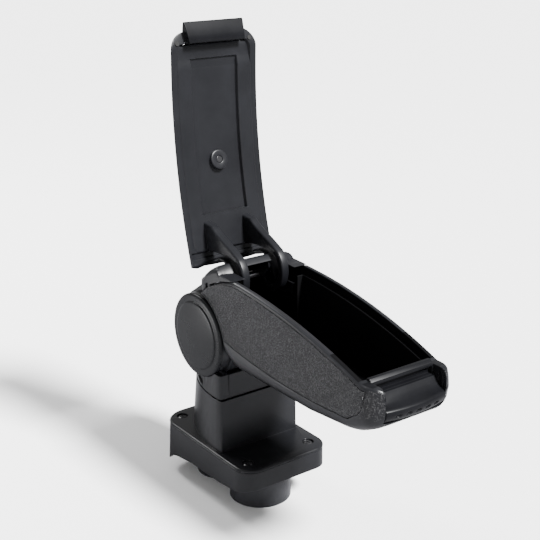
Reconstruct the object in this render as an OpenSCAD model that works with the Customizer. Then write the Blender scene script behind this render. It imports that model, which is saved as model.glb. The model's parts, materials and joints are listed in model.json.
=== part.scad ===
// Centre armrest for a car console.
// A storage box swings up on an axle between two cheeks. The cheeks stand
// on a hollow column, and the base under it carries two round plugs that
// drop into a pair of cup holders. The box has a lid on two gooseneck arms
// and a sprung latch tab at the front.
// Millimetres. +X is the front end of the box, +Z is up. The origin is the
// centre of the underside of the front plug.

/* [Base] */
// Diameter of the front plug, set by the front cup holder
front_plug_d = 66; // [60:1:70]
// Diameter of the rear plug, set by the rear cup holder
rear_plug_d = 60; // [54:1:63]
// Distance between the plug axes
plug_pitch = 70; // [68:1:76]
// Thickness of a plug's wall
plug_wall = 2.6; // [1.6:0.2:4]
// Length of the base plate
base_len = 164; // [156:2:180]
// Width of the base plate
base_w = 110.6; // [104:1:124]
// How far the base plate reaches in front of the front plug's axis
base_front = 51.1; // [46:0.5:58]
// Height of the top of the base plate
base_top_z = 62.6; // [56:0.2:72]
// Corner radius of the base plate at the front
base_r_front = 20; // [12:1:28]
// Corner radius of the base plate at the rear
base_r_rear = 27; // [16:1:34]
// Wall thickness of the skirt
skirt_wall = 3; // [2:0.2:4]
// Diameter of the base screw heads
screw_head_d = 10; // [8:0.5:11]

/* [Column] */
// Height of the column above the base plate
column_h = 57.9; // [40:1:90]
// Half width of the column at its foot
column_hw = 50.5; // [47:0.5:52]
// Half width of the column at its top
column_top_hw = 49.2; // [46:0.2:51]
// Wall thickness of the column
column_wall = 3; // [2:0.2:4]
// Height of the axle above the ground
axle_z = 181; // [178:1:186]
// Diameter of the axle
axle_d = 12; // [8:1:16]
// Radius of the cheek heads and their caps
head_r = 44.5; // [42:0.5:46]

/* [Box] */
// Half width of the box at its widest
box_hw = 50; // [48:0.5:53]
// Half width of the box at its rim
rim_hw = 46.5; // [45:0.5:48]
// Radius of the arc that the rim follows, seen from the side
rim_r = 640; // [600:10:700]
// Height of the rim's highest point
rim_top_z = 256.4; // [252:0.5:262]
// Height of the box's flat underside
box_bottom_z = 163.5; // [160:0.5:167]
// Wall thickness of the box shell
shell_wall = 2.6; // [2:0.2:3]
// Thickness of the grained side panels
panel_t = 2.6; // [1.6:0.2:3]
// Radius of the plan corners at the box's front
nose_r = 18; // [14:1:20]
// Wall thickness of the tray liner
liner_wall = 1.8; // [1.2:0.2:2.4]

/* [Lid] */
// Angle that the lid is opened to
lid_open = 107.5; // [100:0.5:110]
// Thickness of the lid at its middle
lid_t = 11; // [10:0.5:13]
// Half width of the lid
lid_hw = 51; // [49:0.5:53]
// Wall thickness of the lid's cover
lid_wall = 2.8; // [2:0.2:3.2]
// Width of one gooseneck arm
arm_w = 9; // [7:0.5:9.5]
// Diameter of the lid's hinge pin
lid_pin_d = 6; // [4:0.5:7]
// Depth of the recess in the lid's inner plate
lid_recess = 4; // [2:0.5:4.5]
// Width of the latch tab
latch_w = 69.6; // [60:0.2:70]
// Diameter of the latch pin
latch_pin_d = 2.6; // [2:0.2:3]

/* [Hidden] */
$fn = 64;

satin = [0.2, 0.2, 0.21];
gloss = [0.1, 0.1, 0.11];
grain = [0.23, 0.23, 0.24];
steel = [0.7, 0.7, 0.72];

// Clearances
seam = 0.3;          // between pieces of one body that meet
run = 0.05;          // radial clearance of a running pin
play = 0.5;          // between pieces that swing past each other
over = 1;            // how far a cut passes through

// Base
base_rear = base_front - base_len;
plate_t = 3.3;
plate_z = base_top_z - plate_t;
lip_r = 2.6;
plug_h = plate_z - seam;
plug_floor = 3;
screw_bore_d = screw_head_d + 2.5;
screw_x = [base_rear + 15.3, base_front - 18.9];
screw_y = [36, 39];

// Column and neck
column_top = base_top_z + column_h;
column_front = -0.5;
column_rear = base_rear + 15.3;
column_top_rear = column_rear + 5;
neck_gap = 1;
neck_z = column_top + neck_gap;
neck_front = -2.4;
neck_hw = 48.5;
neck_split = mix(neck_front, column_top_rear, 0.417);
cheek_in = 37.5;
cheek_out = 46.5;
front_cover_top = 148;
rear_cover_top = 149;
spigot_depth = 18;

// Axle and hub
axle_x = -42.5;
hub_r = head_r + 2.5;
hub_hw = cheek_in - play;
hub_wall = 3;
hub_tube_r = axle_d / 2 + 8;
pocket_r = head_r + 3.5;
panel_rear_r = head_r + 5;
cap_out = 52.5;
axle_head_d = axle_d + 8;
axle_head_h = 3.4;

// Box
rim_x = -9.6;
horn_z = 218.1;
horn_x = 208.4;
nose_x1 = 231.4;
nose_x0 = nose_x1 - nose_r;
edge_r = 13;
rim_edge = 1.8;
groove = 4.2;
front_wall_x = 205.4;
front_wall_z = 221;
front_hw = 35.3;
ledge_x = 213.4;
ledge_z = 209;
strike_z = 216;
lip_x0 = 214.4;
lip_z0 = 184.5;
seat_x = 20.4;
box_rear = -38.6;
liner_hw = min(box_hw - 9.8, rim_hw - 6.3);
liner_rear = 19.6;
liner_step = seat_x - 0.8;
liner_drop = 9;
panel_front = 215.7;

// Lid
lid_x = -24.6;
lid_z = 240;
lid_gap = 0.5;
hood_r = 28.6;
hood_side_r = 26;
sweep_r = hood_r + play;
arm_in = 19.5;
arm_clear_r = 25.4;
slot_in = arm_in - 0.6;
slot_out = arm_in + arm_w + 1.5;
neck_c = [-18.1, 227.5];
neck_r_in = 19;
neck_r_out = 27;
lid_front = 225.4;
lid_corner = 20;
plate_rear = 7.2;
plate_front = 203.9;
plate_hw = 44.3;
plate_h = 6.1;
recess_hw = 28;
recess_x = [44.9, 198.9];
boss_x = 98.4;
notch_hw = latch_w / 2 + 1.7;
tab_in = latch_w / 2 - 2.2;
latch_x = 215;
latch_z = 220.9;
latch_edge = 213.2;
bumper_x = 214;
bumper_y = 43;
bumper_d = 5;

function drop(r, d) = r - sqrt(r * r - d * d);
function mix(a, b, t) = a + (b - a) * t;

// Height of the rim arc at x
function rim_z(x) = rim_top_z - drop(rim_r, x - rim_x);

// Line where the rear cover meets the box's sides
function joint_z(x) = lookup(x, [[-46, 226], [-34.6, 230], [-27.6, 237],
    [-20.6, 242], [-11.6, 246], [-2.6, 250], [seat_x, rim_z(seat_x)]]);

// Share of the way along the rounded front end
function nose_u(x) = max(0, min(1, (x - nose_x0) / nose_r));

function box_top(x) = x < seat_x ? joint_z(x)
    : x < horn_x ? rim_z(x)
    : horn_z - 12 * (1 - sqrt(max(0, 1 - pow(max(0, (x - 222) / 9.5), 2))));

function box_bottom(x) = lookup(x, [[5.4, box_bottom_z + 9.5],
    [9.4, box_bottom_z + 6.5], [17.4, box_bottom_z + 2.5], [27.4, box_bottom_z],
    [140, box_bottom_z], [167.4, box_bottom_z + 2.2], [188.4, box_bottom_z + 3.8],
    [201.4, box_bottom_z + 6.1], [210.4, box_bottom_z + 9.5],
    [220.4, box_bottom_z + 14.5], [227.4, box_bottom_z + 19],
    [nose_x1, box_bottom_z + 25]]);

// Half width of the box at x: a slight barrel shape, then the plan corner
function box_w(x) = box_hw - 1.1 * pow((x - 97) / 125, 2)
    - drop(nose_r, nose_r * nose_u(x));
function box_mid(x) = mix(box_bottom(x), max(box_top(x), horn_z), 0.47);
function box_rim_w(x) = box_w(x) - (box_hw - rim_hw);

// Outer side surface of the box at height z
function side_y(x, z) = let (
    m = box_mid(x),
    up = (z - m) / (max(box_top(x), rim_z(x)) - m),
    dn = (m - z) / (m - box_bottom(x) - edge_r))
    z > m ? box_w(x) - (box_hw - rim_hw) * pow(min(up, 1.2), 2)
          : box_w(x) - 1.2 * pow(min(dn, 1.2), 2);

// One half of a cross section of the box, from the rim down, moved in by i
function box_half(x, i, up) = let (
    zt = box_top(x), zb = box_bottom(x),
    rb = min(edge_r, 0.42 * (zt - zb)),
    zs = zb + rb,
    yb = side_y(x, zs) - rb,
    zu = i > 0 ? zt + up : zt - rim_edge,
    k = i > 0 ? [[side_y(x, zt) - i, zt + up]]
              : [[side_y(x, zt) - rim_edge, zt],
                 [side_y(x, zt) - 0.3 * rim_edge, zt - 0.3 * rim_edge]])
    concat(k,
        [for (t = [0 : 0.2 : 1]) let (z = mix(i > 0 ? zt - 1 : zt - rim_edge, zs, t))
            [side_y(x, z) - i, z]],
        [for (a = [22.5 : 22.5 : 90])
            [yb + (rb - i) * cos(a), zs - (rb - i) * sin(a)]]);

function ring(x, half) = concat([for (p = half) [x, p[0], p[1]]],
    [for (j = [len(half) - 1 : -1 : 0]) [x, -half[j][0], half[j][1]]]);

// Skins a row of rings that all have the same number of points
module loft(rings) {
    n = len(rings[0]);
    m = len(rings);
    polyhedron([for (r = rings) each r], concat(
        [[for (j = [0 : n - 1]) j]],
        [for (i = [0 : m - 2], j = [0 : n - 1])
            let (a = i * n + j, b = i * n + (j + 1) % n)
            each [[a, a + n, b + n], [a, b + n, b]]],
        [[for (j = [n - 1 : -1 : 0]) (m - 1) * n + j]]), convexity = 6);
}

// A flat outline in X and Z, carried across from y0 to y1
module slab(y0, y1) {
    translate([0, y1, 0]) rotate([90, 0, 0]) linear_extrude(y1 - y0) children();
}

module y_rod(r, x, z, y0, y1, n = 64) {
    translate([x, y1, z]) rotate([90, 0, 0]) cylinder(r = r, h = y1 - y0, $fn = n);
}

module both_sides() {
    children();
    mirror([0, 1, 0]) children();
}

// Turns the closed lid to its open rest position
module lid_pose() {
    translate([lid_x, 0, lid_z]) rotate([0, -lid_open, 0])
        translate([-lid_x, 0, -lid_z]) children();
}

// Base

module plug(d) {
    rotate_extrude($fn = 96) polygon([[0, 0], [d / 2, 0], [d / 2, plug_h],
        [d / 2 - plug_wall, plug_h],
        [d / 2 - plug_wall, plug_floor], [0, plug_floor]]);
}

module front_plug() {
    color(gloss) plug(front_plug_d);
}

module rear_plug() {
    color(gloss) translate([-plug_pitch, 0, 0]) plug(rear_plug_d);
}

module base_plan(i) {
    hull() {
        for (s = [-1, 1]) {
            translate([base_front - base_r_front, s * (base_w / 2 - base_r_front)])
                circle(r = base_r_front - i, $fn = 48);
            translate([base_rear + base_r_rear, s * (base_w / 2 - base_r_rear)])
                circle(r = base_r_rear - i, $fn = 48);
        }
    }
}

// Outline of everything that is cut away under the skirt
module skirt_cut() {
    polygon([[base_rear - 60, -over], [base_rear - 60, 12], [base_rear + 8, 12],
        [base_rear + 14, 17], [base_rear + 20, 22], [base_rear + 28, 25],
        [base_rear + 36, 27], [base_rear + 0.371 * base_len, 30.3],
        [base_rear + 0.493 * base_len, 31], [base_rear + 0.707 * base_len, 32],
        [base_front - 28, 34], [base_front - 10, 37], [base_front + 2, 39.6],
        [base_front + 9, 41], [base_front + 9, -over]]);
}

module base_skirt() {
    h = plate_z - seam;
    color(satin) difference() {
        union() {
            translate([base_front, 0, h]) rotate([180, 0, 0])
                linear_extrude(h - 2, scale = 1.02)
                translate([-base_front, 0]) base_plan(0.5);
            around_plugs(play + skirt_wall, 2, h);
        }
        translate([base_front, 0, h + over]) rotate([180, 0, 0])
            linear_extrude(h + over, scale = 1.02)
            translate([-base_front, 0]) base_plan(0.5 + skirt_wall);
        slab(-base_w, base_w) skirt_cut();
        around_plugs(play, -over, plate_z + over);
    }
}

// A cylinder round each plug, g wider than it. The skirt keeps clear of the
// plugs, and goes round one that the base plate doesn't cover
module around_plugs(g, z0, z1) {
    for (p = [[0, front_plug_d], [-plug_pitch, rear_plug_d]])
        translate([p[0], 0, z0]) cylinder(d = p[1] + 2 * g, h = z1 - z0, $fn = 96);
}

module plate_corner(r) {
    rotate_extrude($fn = 48) polygon([[0, plate_z], [r - 0.5, plate_z],
        [r, plate_z + 0.7], [r - 0.35, base_top_z - 1.3],
        [r - 1.2, base_top_z - 0.35], [r - lip_r, base_top_z], [0, base_top_z]]);
}

// Side line of the column's plan
function plan_y(x, hw, xc, r) = hw - drop(r, x - xc);

// Plan of the column and neck: flat front, arched sides and a blunt rear end
function plan(front, rear, hw, xc, r, i) = let (
    f = front - i, b = rear + i, h = hw - i,
    q = plan_y(b + 3, h, xc, r), e = plan_y(f, h, xc, r),
    side = concat([[f, e - 2.5], [f - 0.7, e - 0.7]],
        [for (t = [0 : 1 / 12 : 1]) let (x = mix(f - 2.5, b + 3, t))
            [x, plan_y(x, h, xc, r)]]))
    concat(side, [for (t = [0.6, 0]) [b + 3 * t * t, q * t]],
        [[b + 1.08, -q * 0.6]],
        [for (j = [len(side) - 1 : -1 : 0]) [side[j][0], -side[j][1]]]);

function foot_plan(i) = plan(column_front, column_rear, column_hw, -14.6, 127, i);
function top_plan(i) = plan(column_front, column_top_rear, column_top_hw, -12.6, 115, i);
function neck_plan(i) = plan(neck_front, column_top_rear + 0.6, neck_hw, -12.6, 115, i);

module column_solid(i, z0, z1) {
    hull() {
        translate([0, 0, z0]) linear_extrude(0.01) polygon(foot_plan(i));
        translate([0, 0, z1]) linear_extrude(0.01) polygon(top_plan(i));
    }
}

module base_top() {
    color(satin) difference() {
        union() {
            hull() {
                for (s = [-1, 1]) {
                    translate([base_front - base_r_front,
                        s * (base_w / 2 - base_r_front), 0]) plate_corner(base_r_front);
                    translate([base_rear + base_r_rear,
                        s * (base_w / 2 - base_r_rear), 0]) plate_corner(base_r_rear);
                }
            }
            column_solid(0, base_top_z - 1, column_top);
        }
        column_solid(column_wall, plate_z - over, column_top + over);
        for (k = [0, 1], s = [-1, 1])
            translate([screw_x[k], s * screw_y[k], 0]) {
                translate([0, 0, base_top_z - 2.2])
                    cylinder(d = screw_bore_d, h = 4, $fn = 32);
                cylinder(d = 4.4, h = base_top_z + over, $fn = 24);
            }
    }
}

module base_screws() {
    color(gloss) for (k = [0, 1], s = [-1, 1])
        translate([screw_x[k], s * screw_y[k], base_top_z - 2.2]) difference() {
            union() {
                cylinder(d = screw_head_d, h = 2, $fn = 32);
                translate([0, 0, -5]) cylinder(d = 4, h = 6, $fn = 24);
            }
            translate([0, 0, 1]) cylinder(d = 4.6, h = 2, $fn = 6);
        }
}

// Neck

module neck_fork() {
    color(satin) difference() {
        union() {
            // Stem, flush with the column across a narrow shadow gap
            difference() {
                translate([0, 0, neck_z])
                    linear_extrude(front_cover_top - neck_z) polygon(neck_plan(0));
                // Room for the hub and the two covers
                translate([-140, -cheek_in, neck_z + 7])
                    cube([200, 2 * cheek_in, 80]);
                translate([neck_split - 100, -60, neck_z - over]) cube([100, 120, 60]);
                slab(-60, 60) translate([axle_x, axle_z]) circle(r = head_r);
            }
            both_sides() y_rod(head_r, axle_x, axle_z, cheek_in, cheek_out, 96);
            // Web between the stem and the head, behind the cap
            both_sides() slab(cheek_in, 43) polygon([[neck_front, neck_z],
                [neck_front, front_cover_top], [axle_x + 30, front_cover_top + 4],
                [axle_x, axle_z], [axle_x - 24, 150], [axle_x + 6, neck_z]]);
            // Spigot that sits in the column
            translate([0, 0, column_top - spigot_depth])
                linear_extrude(spigot_depth + neck_gap + over)
                polygon(top_plan(column_wall + 1));
        }
        translate([0, 0, column_top - spigot_depth - over])
            linear_extrude(spigot_depth + over + neck_gap + 3.4)
            polygon(top_plan(column_wall + 4));
        // Each head is a shell with a boss and ribs behind its cap
        both_sides() difference() {
            y_rod(head_r - column_wall, axle_x, axle_z, cheek_in + column_wall, 60);
            y_rod(axle_d / 2 + 7, axle_x, axle_z, cheek_in, cheek_out);
            for (a = [0 : 60 : 120]) translate([axle_x, cheek_in, axle_z])
                rotate([0, a, 0]) translate([-head_r, 0, -1.2])
                cube([2 * head_r, cheek_out - cheek_in - 0.6, 2.4]);
        }
        y_rod(axle_d / 2 + run, axle_x, axle_z, -60, 60);
    }
}

module neck_front_cover() {
    color(satin) intersection() {
        translate([neck_front - 3, -cheek_in + seam, neck_z + 7 + seam])
            cube([6, 2 * (cheek_in - seam), front_cover_top - neck_z - 7 - seam]);
        translate([0, 0, neck_z]) linear_extrude(60) polygon(neck_plan(0));
    }
}

module neck_rear_cover() {
    color(satin) difference() {
        translate([0, 0, neck_z])
            linear_extrude(rear_cover_top - neck_z) polygon(neck_plan(0));
        translate([0, 0, neck_z - over])
            linear_extrude(rear_cover_top - neck_z - 2) polygon(neck_plan(3));
        translate([neck_split - seam, -60, neck_z - over]) cube([60, 120, 60]);
        y_rod(hub_r + 10, axle_x, axle_z, -60, 60, 96);
        both_sides() y_rod(head_r + seam, axle_x, axle_z, cheek_in - seam, 60, 96);
    }
}

module pivot_cap() {
    translate([axle_x, -cheek_out, axle_z]) rotate([90, 0, 0])
        rotate_extrude($fn = 96) polygon([[0, 4.2], [33, 3.2], [head_r - 3, 2],
            [head_r - 3, 0], [head_r, 0], [head_r, 2], [head_r - 0.5, 3],
            [head_r - 1.7, 3.6], [head_r - 8.6, 4], [head_r - 9, 4.7],
            [head_r - 12, 5.2], [20, 5.7], [0, cap_out - cheek_out]]);
}

module pivot_cap_right() {
    color(satin) pivot_cap();
}

module pivot_cap_left() {
    color(satin) mirror([0, 1, 0]) pivot_cap();
}

module axle_bolt() {
    color(steel) {
        y_rod(axle_d / 2, axle_x, axle_z, -cheek_out, cheek_out + 2.6);
        y_rod(axle_head_d / 2, axle_x, axle_z, -cheek_out - axle_head_h, -cheek_out);
    }
}

module axle_nut() {
    color(steel) difference() {
        y_rod(axle_head_d / 2, axle_x, axle_z, cheek_out, cheek_out + axle_head_h, 6);
        y_rod(axle_d / 2 + 0.02, axle_x, axle_z, 0, cheek_out + 3);
    }
}

// Box

module hub_outline() {
    translate([axle_x, axle_z]) circle(r = hub_r, $fn = 96);
    polygon([[-69.1, 219.5], [-46, 235.6], [11, 235.6], [11, 180], [axle_x, 178]]);
}

module hub_barrel() {
    color(satin) difference() {
        union() {
            // Barrel wall, open towards the box
            difference() {
                slab(-hub_hw, hub_hw) union() {
                    translate([axle_x, axle_z]) circle(r = hub_r, $fn = 96);
                    polygon([[-69.1, 219.5], [-46, 235.6], [-44, 235.6], [-44, 200]]);
                }
                slab(-hub_hw - over, hub_hw + over) union() {
                    translate([axle_x, axle_z]) circle(r = hub_r - hub_wall, $fn = 96);
                    polygon([[-66.5, 217.6], [-44, 233], [-38, 238], [20, 240],
                        [20, 174], [axle_x, axle_z]]);
                }
            }
            both_sides() slab(hub_hw - hub_wall + 0.3, hub_hw) hub_outline();
            y_rod(hub_tube_r, axle_x, axle_z, -hub_hw, hub_hw);
        }
        y_rod(axle_d / 2 + run, axle_x, axle_z, -hub_hw - over, hub_hw + over);
    }
}

box_x = [box_rear, box_rear + shell_wall, -28, -20, -10, 0, 5.4, 9.4, 17.4, seat_x, 27.4, 50, 75, 100, 120,
    140, 155, 167.4, 178, 188.4, 196, front_wall_x - 0.2, 208.4, nose_x0, 217.5, 220.4, 224.4,
    227.4, 229.6, 230.8, nose_x1];

function back(v) = [for (j = [len(v) - 1 : -1 : 0]) v[j]];

module box_loft(i, up, x1) {
    loft([for (x = box_x) if (x < x1 && (i == 0 || x > box_rear + shell_wall - 1))
        ring(x, back(box_half(x, i, up)))]);
}

// Lower and upper edges of the grained side panel
function panel_lo(x) = max(179.4 + drop(760, x - 137.4),
    abs(x - axle_x) < panel_rear_r
        ? axle_z + sqrt(pow(panel_rear_r, 2) - pow(x - axle_x, 2)) : 0,
    x > 195.7 ? 206 - sqrt(max(0, 400 - pow(x - 195.7, 2))) : 0);
function panel_hi(x) = box_top(x) - lookup(x, [[-35, 0.4], [0, 1.5], [seat_x, groove]]);

panel_x = [-32, -28, -22, -15, -8, -2, 3, 6.4, 7.3, 12, seat_x, 34, 50, 70, 90, 110,
    130, 150, 168, 184, 195.7, 203.4, 208.9, 213, 215, panel_front];

// A side panel, or with c the seat that is cut for it
module panel_patch(c) {
    rows = 6;
    rings = [for (x = panel_x) let (
        lo = panel_lo(x) - c, hi = panel_hi(x) + c, xx = x + (x == panel_front ? c : 0))
        concat(
            [for (k = [0 : rows]) let (z = mix(lo, hi, k / rows))
                [xx, -side_y(x, z) - (c > 0 ? 3 : 0), z]],
            [for (k = [rows : -1 : 0]) let (z = mix(lo, hi, k / rows))
                [xx, -side_y(x, z) + panel_t + c, z]])];
    loft([for (r = rings) back(r)]);
}

module side_panel_right() {
    color(grain) panel_patch(0);
}

module side_panel_left() {
    color(grain) mirror([0, 1, 0]) panel_patch(0);
}

module box_shell() {
    color(satin) difference() {
        union() {
            difference() {
                box_loft(0, 0, 300);
                // Inside, with a wall left round the pocket of each head
                difference() {
                    box_loft(panel_t + shell_wall + 0.1, 3, front_wall_x);
                    both_sides() y_rod(pocket_r + shell_wall, axle_x, axle_z,
                        hub_hw + 0.6, 60, 96);
                }
                // Everything above the ledge between the two horns
                translate([ledge_x, -front_hw, ledge_z]) cube([40, 2 * front_hw, 40]);
                translate([lip_x0, -front_hw, lip_z0]) cube([40, 2 * front_hw, 40]);
            }
            // Raised front wall with the edge that the latch hooks under
            slab(-front_hw - over, front_hw + over) polygon([[front_wall_x - 0.2, 200],
                [front_wall_x - 0.2, front_wall_z - 0.8],
                [front_wall_x + 0.6, front_wall_z], [209.2, front_wall_z],
                [ledge_x, strike_z + 0.5], [ledge_x, 200]]);
        }
        translate([209.4, -front_hw + 1.3, ledge_z])
            cube([30, 2 * front_hw - 2.6, strike_z - ledge_z]);
        panel_patch(seam);
        mirror([0, 1, 0]) panel_patch(seam);
        y_rod(hub_r + seam, axle_x, axle_z, -hub_hw - 0.6, hub_hw + 0.6, 96);
        // Room for the hub's shoulder and for the lid's arms
        translate([box_rear - over, -hub_hw - 0.6, axle_z + 24])
            cube([shell_wall + 2.4, 2 * (hub_hw + 0.6), 50]);
        // Two narrow grooves down the inner face of each horn
        both_sides() {
            translate([220, front_hw - over, 200]) cube([0.9, over + 0.8, 11]);
            translate([225.9, front_hw - over, 198]) cube([1.1, over + 0.9, 18.6]);
        }
        both_sides() y_rod(pocket_r, axle_x, axle_z, hub_hw + 0.5, 70, 96);
    }
}

// Side outline of the tray liner, moved in by i
module liner_outline(i) {
    x1 = front_wall_x - 1.6 - i;
    polygon(concat([[-48 + i, 224], [-48 + i, 196 + i], [-4 + i, 196 + i],
        [-4 + i, box_bottom_z + 16.2 + i], [liner_step + i, box_bottom_z + 16.2 + i],
        [liner_step + 8 + i, box_bottom_z + 8.2 + i], [138, box_bottom_z + 8.2 + i],
        [x1, box_bottom_z + 15.4 + i]],
        [for (t = [0 : 0.1 : 1]) let (x = mix(x1, liner_rear + i, t))
            [x, rim_z(x) - liner_drop + (i > 0 ? 4 : 0)]],
        [[liner_rear + i, 224 + i]]));
}

module tray_liner() {
    w = liner_hw;
    hw = hub_hw - hub_wall - 0.3;
    color(satin) difference() {
        union() {
            intersection() {
                slab(-w, w) liner_outline(0);
                translate([liner_rear, -w, 150]) cube([200, 2 * w, 120]);
            }
            slab(-hw, hw) liner_outline(0);
            // Flange along the top edge, out to the shell
            slab(-w - 1.6, w + 1.6) polygon(concat(
                [for (x = [liner_step, 50, 90, 130, 170, front_wall_x - 1.6])
                    [x, rim_z(x) - liner_drop]],
                [for (x = [front_wall_x - 1.6, 170, 130, 90, 50, liner_step])
                    [x, rim_z(x) - liner_drop - 1.6]]));
        }
        intersection() {
            slab(-w + liner_wall, w - liner_wall) liner_outline(liner_wall);
            translate([liner_rear + liner_wall, -w, 150]) cube([200, 2 * w, 120]);
        }
        slab(-hw + liner_wall, hw - liner_wall) liner_outline(liner_wall);
        translate([-49, -hw + liner_wall, 224 - over])
            cube([49 + liner_rear + liner_wall + 0.2, 2 * (hw - liner_wall), 60]);
    }
}

// What the rear cover stays inside and the lid's rear edge swings around,
// with g to spare: a drum about the hinge line, narrower towards both ends
module hinge_drum(g) {
    translate([lid_x, 0, lid_z]) rotate([90, 0, 0]) rotate_extrude($fn = 96)
        polygon([[0, -60], [hood_side_r + g, -60], [hood_side_r + g, -42],
            [hood_r + g, -32], [hood_r + g, 32], [hood_side_r + g, 42],
            [hood_side_r + g, 60], [0, 60]]);
}

// Height of the rear cover along its middle
function hood_top(x) = lookup(x, [[-45, 238], [-42, 242], [-38, 246.5], [-34, 250.5],
    [-30, 254], [-25, 258], [-20, 261], [-14.6, 263.5], [-8, 265], [0, 264.5],
    [seat_x, 262]]);

// Half width of the rear cover, drawn in towards the hub
function hood_w(x) = lookup(x, [[-45, 39.5], [-42, 42.8], [-38, 45.4], [-34, 46.8],
    [-30, 47.5], [-20, 48.4], [-10, 50], [0, 55]]);

function hood_half(x, i) = let (
    zb = max(joint_z(x), x < -36 ? 236.6 : 0) + 1.6 * seam - (i > 0 ? 4 : 0),
    w = min(side_y(x, joint_z(x)), hood_w(x)) - i, zt = hood_top(x) - i)
    [for (u = [1, 0.995, 0.98, 0.95, 0.9, 0.8, 0.6, 0.3, 0])
        [w * u, zb + (zt - zb) * pow(1 - pow(u, 6), 1 / 6)]];

module hood_loft(i) {
    xs = [-45 + i, -42, -38, -34, -30, -25, -20, -14.6, -8, -2.6, 4, 12, seat_x + i / 9];
    loft([for (x = xs) let (h = hood_half(x, i)) [for (p = concat(h,
        [for (j = [len(h) - 2 : -1 : 0]) [-h[j][0], h[j][1]]])) [x, p[0], p[1]]]]);
}

module rear_cover() {
    color(satin) difference() {
        union() {
            difference() {
                intersection() {
                    hood_loft(0);
                    union() {
                        hinge_drum(0);
                        slab(-60, 60) polygon([[-60, 220], [-60, 245], [-12, 250],
                            [-4, rim_z(-4)], [8, rim_z(8)],
                            [seat_x + 1, rim_z(seat_x + 1)], [seat_x + 1, 220]]);
                    }
                }
                intersection() {
                    hood_loft(lid_wall);
                    union() {
                        hinge_drum(-2.6);
                        slab(-60, 60) polygon([[-60, 220], [-60, 245], [-12, 247.5],
                            [-4, rim_z(-4) - 2.4], [seat_x, rim_z(seat_x) - 2.4],
                            [seat_x, 220]]);
                    }
                }
                // Opening for the box and the arms
                translate([-6, -slot_out, 225]) cube([60, 2 * slot_out, 34.5]);
                both_sides() difference() {
                    translate([-40, slot_in, 225]) cube([80, slot_out - slot_in, 60]);
                    y_rod(arm_clear_r, lid_x, lid_z, slot_in - 5, slot_out + 5, 96);
                }
            }
            // Floor of each arm slot, rolled round the hinge line
            both_sides() slab(slot_in - 0.5, slot_out + 0.4) difference() {
                translate([lid_x, lid_z]) circle(r = arm_clear_r - 0.1, $fn = 96);
                translate([lid_x, lid_z]) circle(r = arm_clear_r - 2.4, $fn = 96);
                polygon([[lid_x, lid_z], [lid_x - 20, lid_z + 34], [lid_x - 60, lid_z + 34],
                    [lid_x - 60, lid_z - 60], [lid_x + 60, lid_z - 60],
                    [lid_x + 60, lid_z - 1]]);
            }
            // Ribs that carry the hinge pin
            both_sides() for (y = [slot_in - 3.5, slot_out + 0.4])
                slab(y, y + 3) hood_rib();
        }
        y_rod(lid_pin_d / 2 + 0.02, lid_x, lid_z, -60, 60);
    }
}

module hood_rib() {
    translate([lid_x, lid_z]) circle(r = lid_pin_d / 2 + 3.2);
    polygon([[-35, 240], [-14, 240], [-5, 252], [-8, 261.5], [-14, 262], [-24.6, 256.6],
        [-33, 249.4]]);
}

module lid_pin() {
    color(steel) y_rod(lid_pin_d / 2, lid_x, lid_z, -slot_out - 4, slot_out + 4);
}

module front_lip() {
    w = front_hw - seam;
    color(satin) difference() {
        slab(-w, w) polygon([[lip_x0 + seam, lip_z0 + seam], [227.4, lip_z0 + seam],
            [231.4, 187.2], [233.8, 191], [234.9, 194.4], [234.4, 197],
            [232.4, 198.8], [217, ledge_z - 0.3], [lip_x0 + seam, ledge_z]]);
        slab(-w + 3, w - 3) polygon([[lip_x0 - over, lip_z0 + 3.2], [226.4, lip_z0 + 3.2],
            [229.2, 189], [231.4, 192.6], [232, 195], [216, ledge_z - 3.4],
            [lip_x0 - over, ledge_z - 3]]);
        // A row of shallow oval dimples for the fingertips
        for (k = [-2 : 2]) translate([232.5, 11 * k, 191]) rotate([0, 115.6, 0]) hull() {
            translate([0, -1.9, 0]) cylinder(d = 3.6, h = 5, $fn = 24);
            translate([0, 1.9, 0]) cylinder(d = 3.6, h = 5, $fn = 24);
        }
    }
}

// Lid, drawn closed and then turned open

function lid_under(x) = max(rim_z(x), horn_z) + lid_gap;
function lid_rise(x) = (rim_z(x) + lid_t + 0.1 - lid_under(x) - 0.8)
    * (x > 200 ? sqrt(max(0, 1 - pow((x - 200) / 26.2, 2)))
        : x < 4 ? sqrt(max(0, 1 - pow((4 - x) / 13.5, 2))) : 1);
function lid_w(x) = lid_hw - drop(lid_corner,
    max(0, min(lid_corner, x - lid_front + lid_corner)));

function lid_half(x, i) = let (w = lid_w(x) - (i > 0 ? 3.2 : 0), z = lid_under(x))
    concat([[w, z - (i > 0 ? 2 : 0)]],
        [for (u = [1, 0.97, 0.9, 0.8, 0.65, 0.45, 0.2, 0])
            [w * u, z + max(0.8 - i, i > 0 ? 0.2 : 0.8)
                + (lid_rise(x) - (i > 0 ? i - 0.6 : 0)) * (1 - pow(u, 3.1))]]);

lid_xs = [-11, -9, -7, -5, -2, 1, 4, 12, 25, 45, 65, 85, 105, 125, 145, 165, 180, 192, 200, 206, 211,
    215, 218.5, 221.5, 223.6, 224.8, lid_front];

module lid_loft(i, x1) {
    loft([for (x = lid_xs) if (x <= x1) let (h = lid_half(x, i))
        [for (p = concat(h, [for (j = [len(h) - 2 : -1 : 0]) [-h[j][0], h[j][1]]]))
            [x, p[0], p[1]]]]);
}

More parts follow.
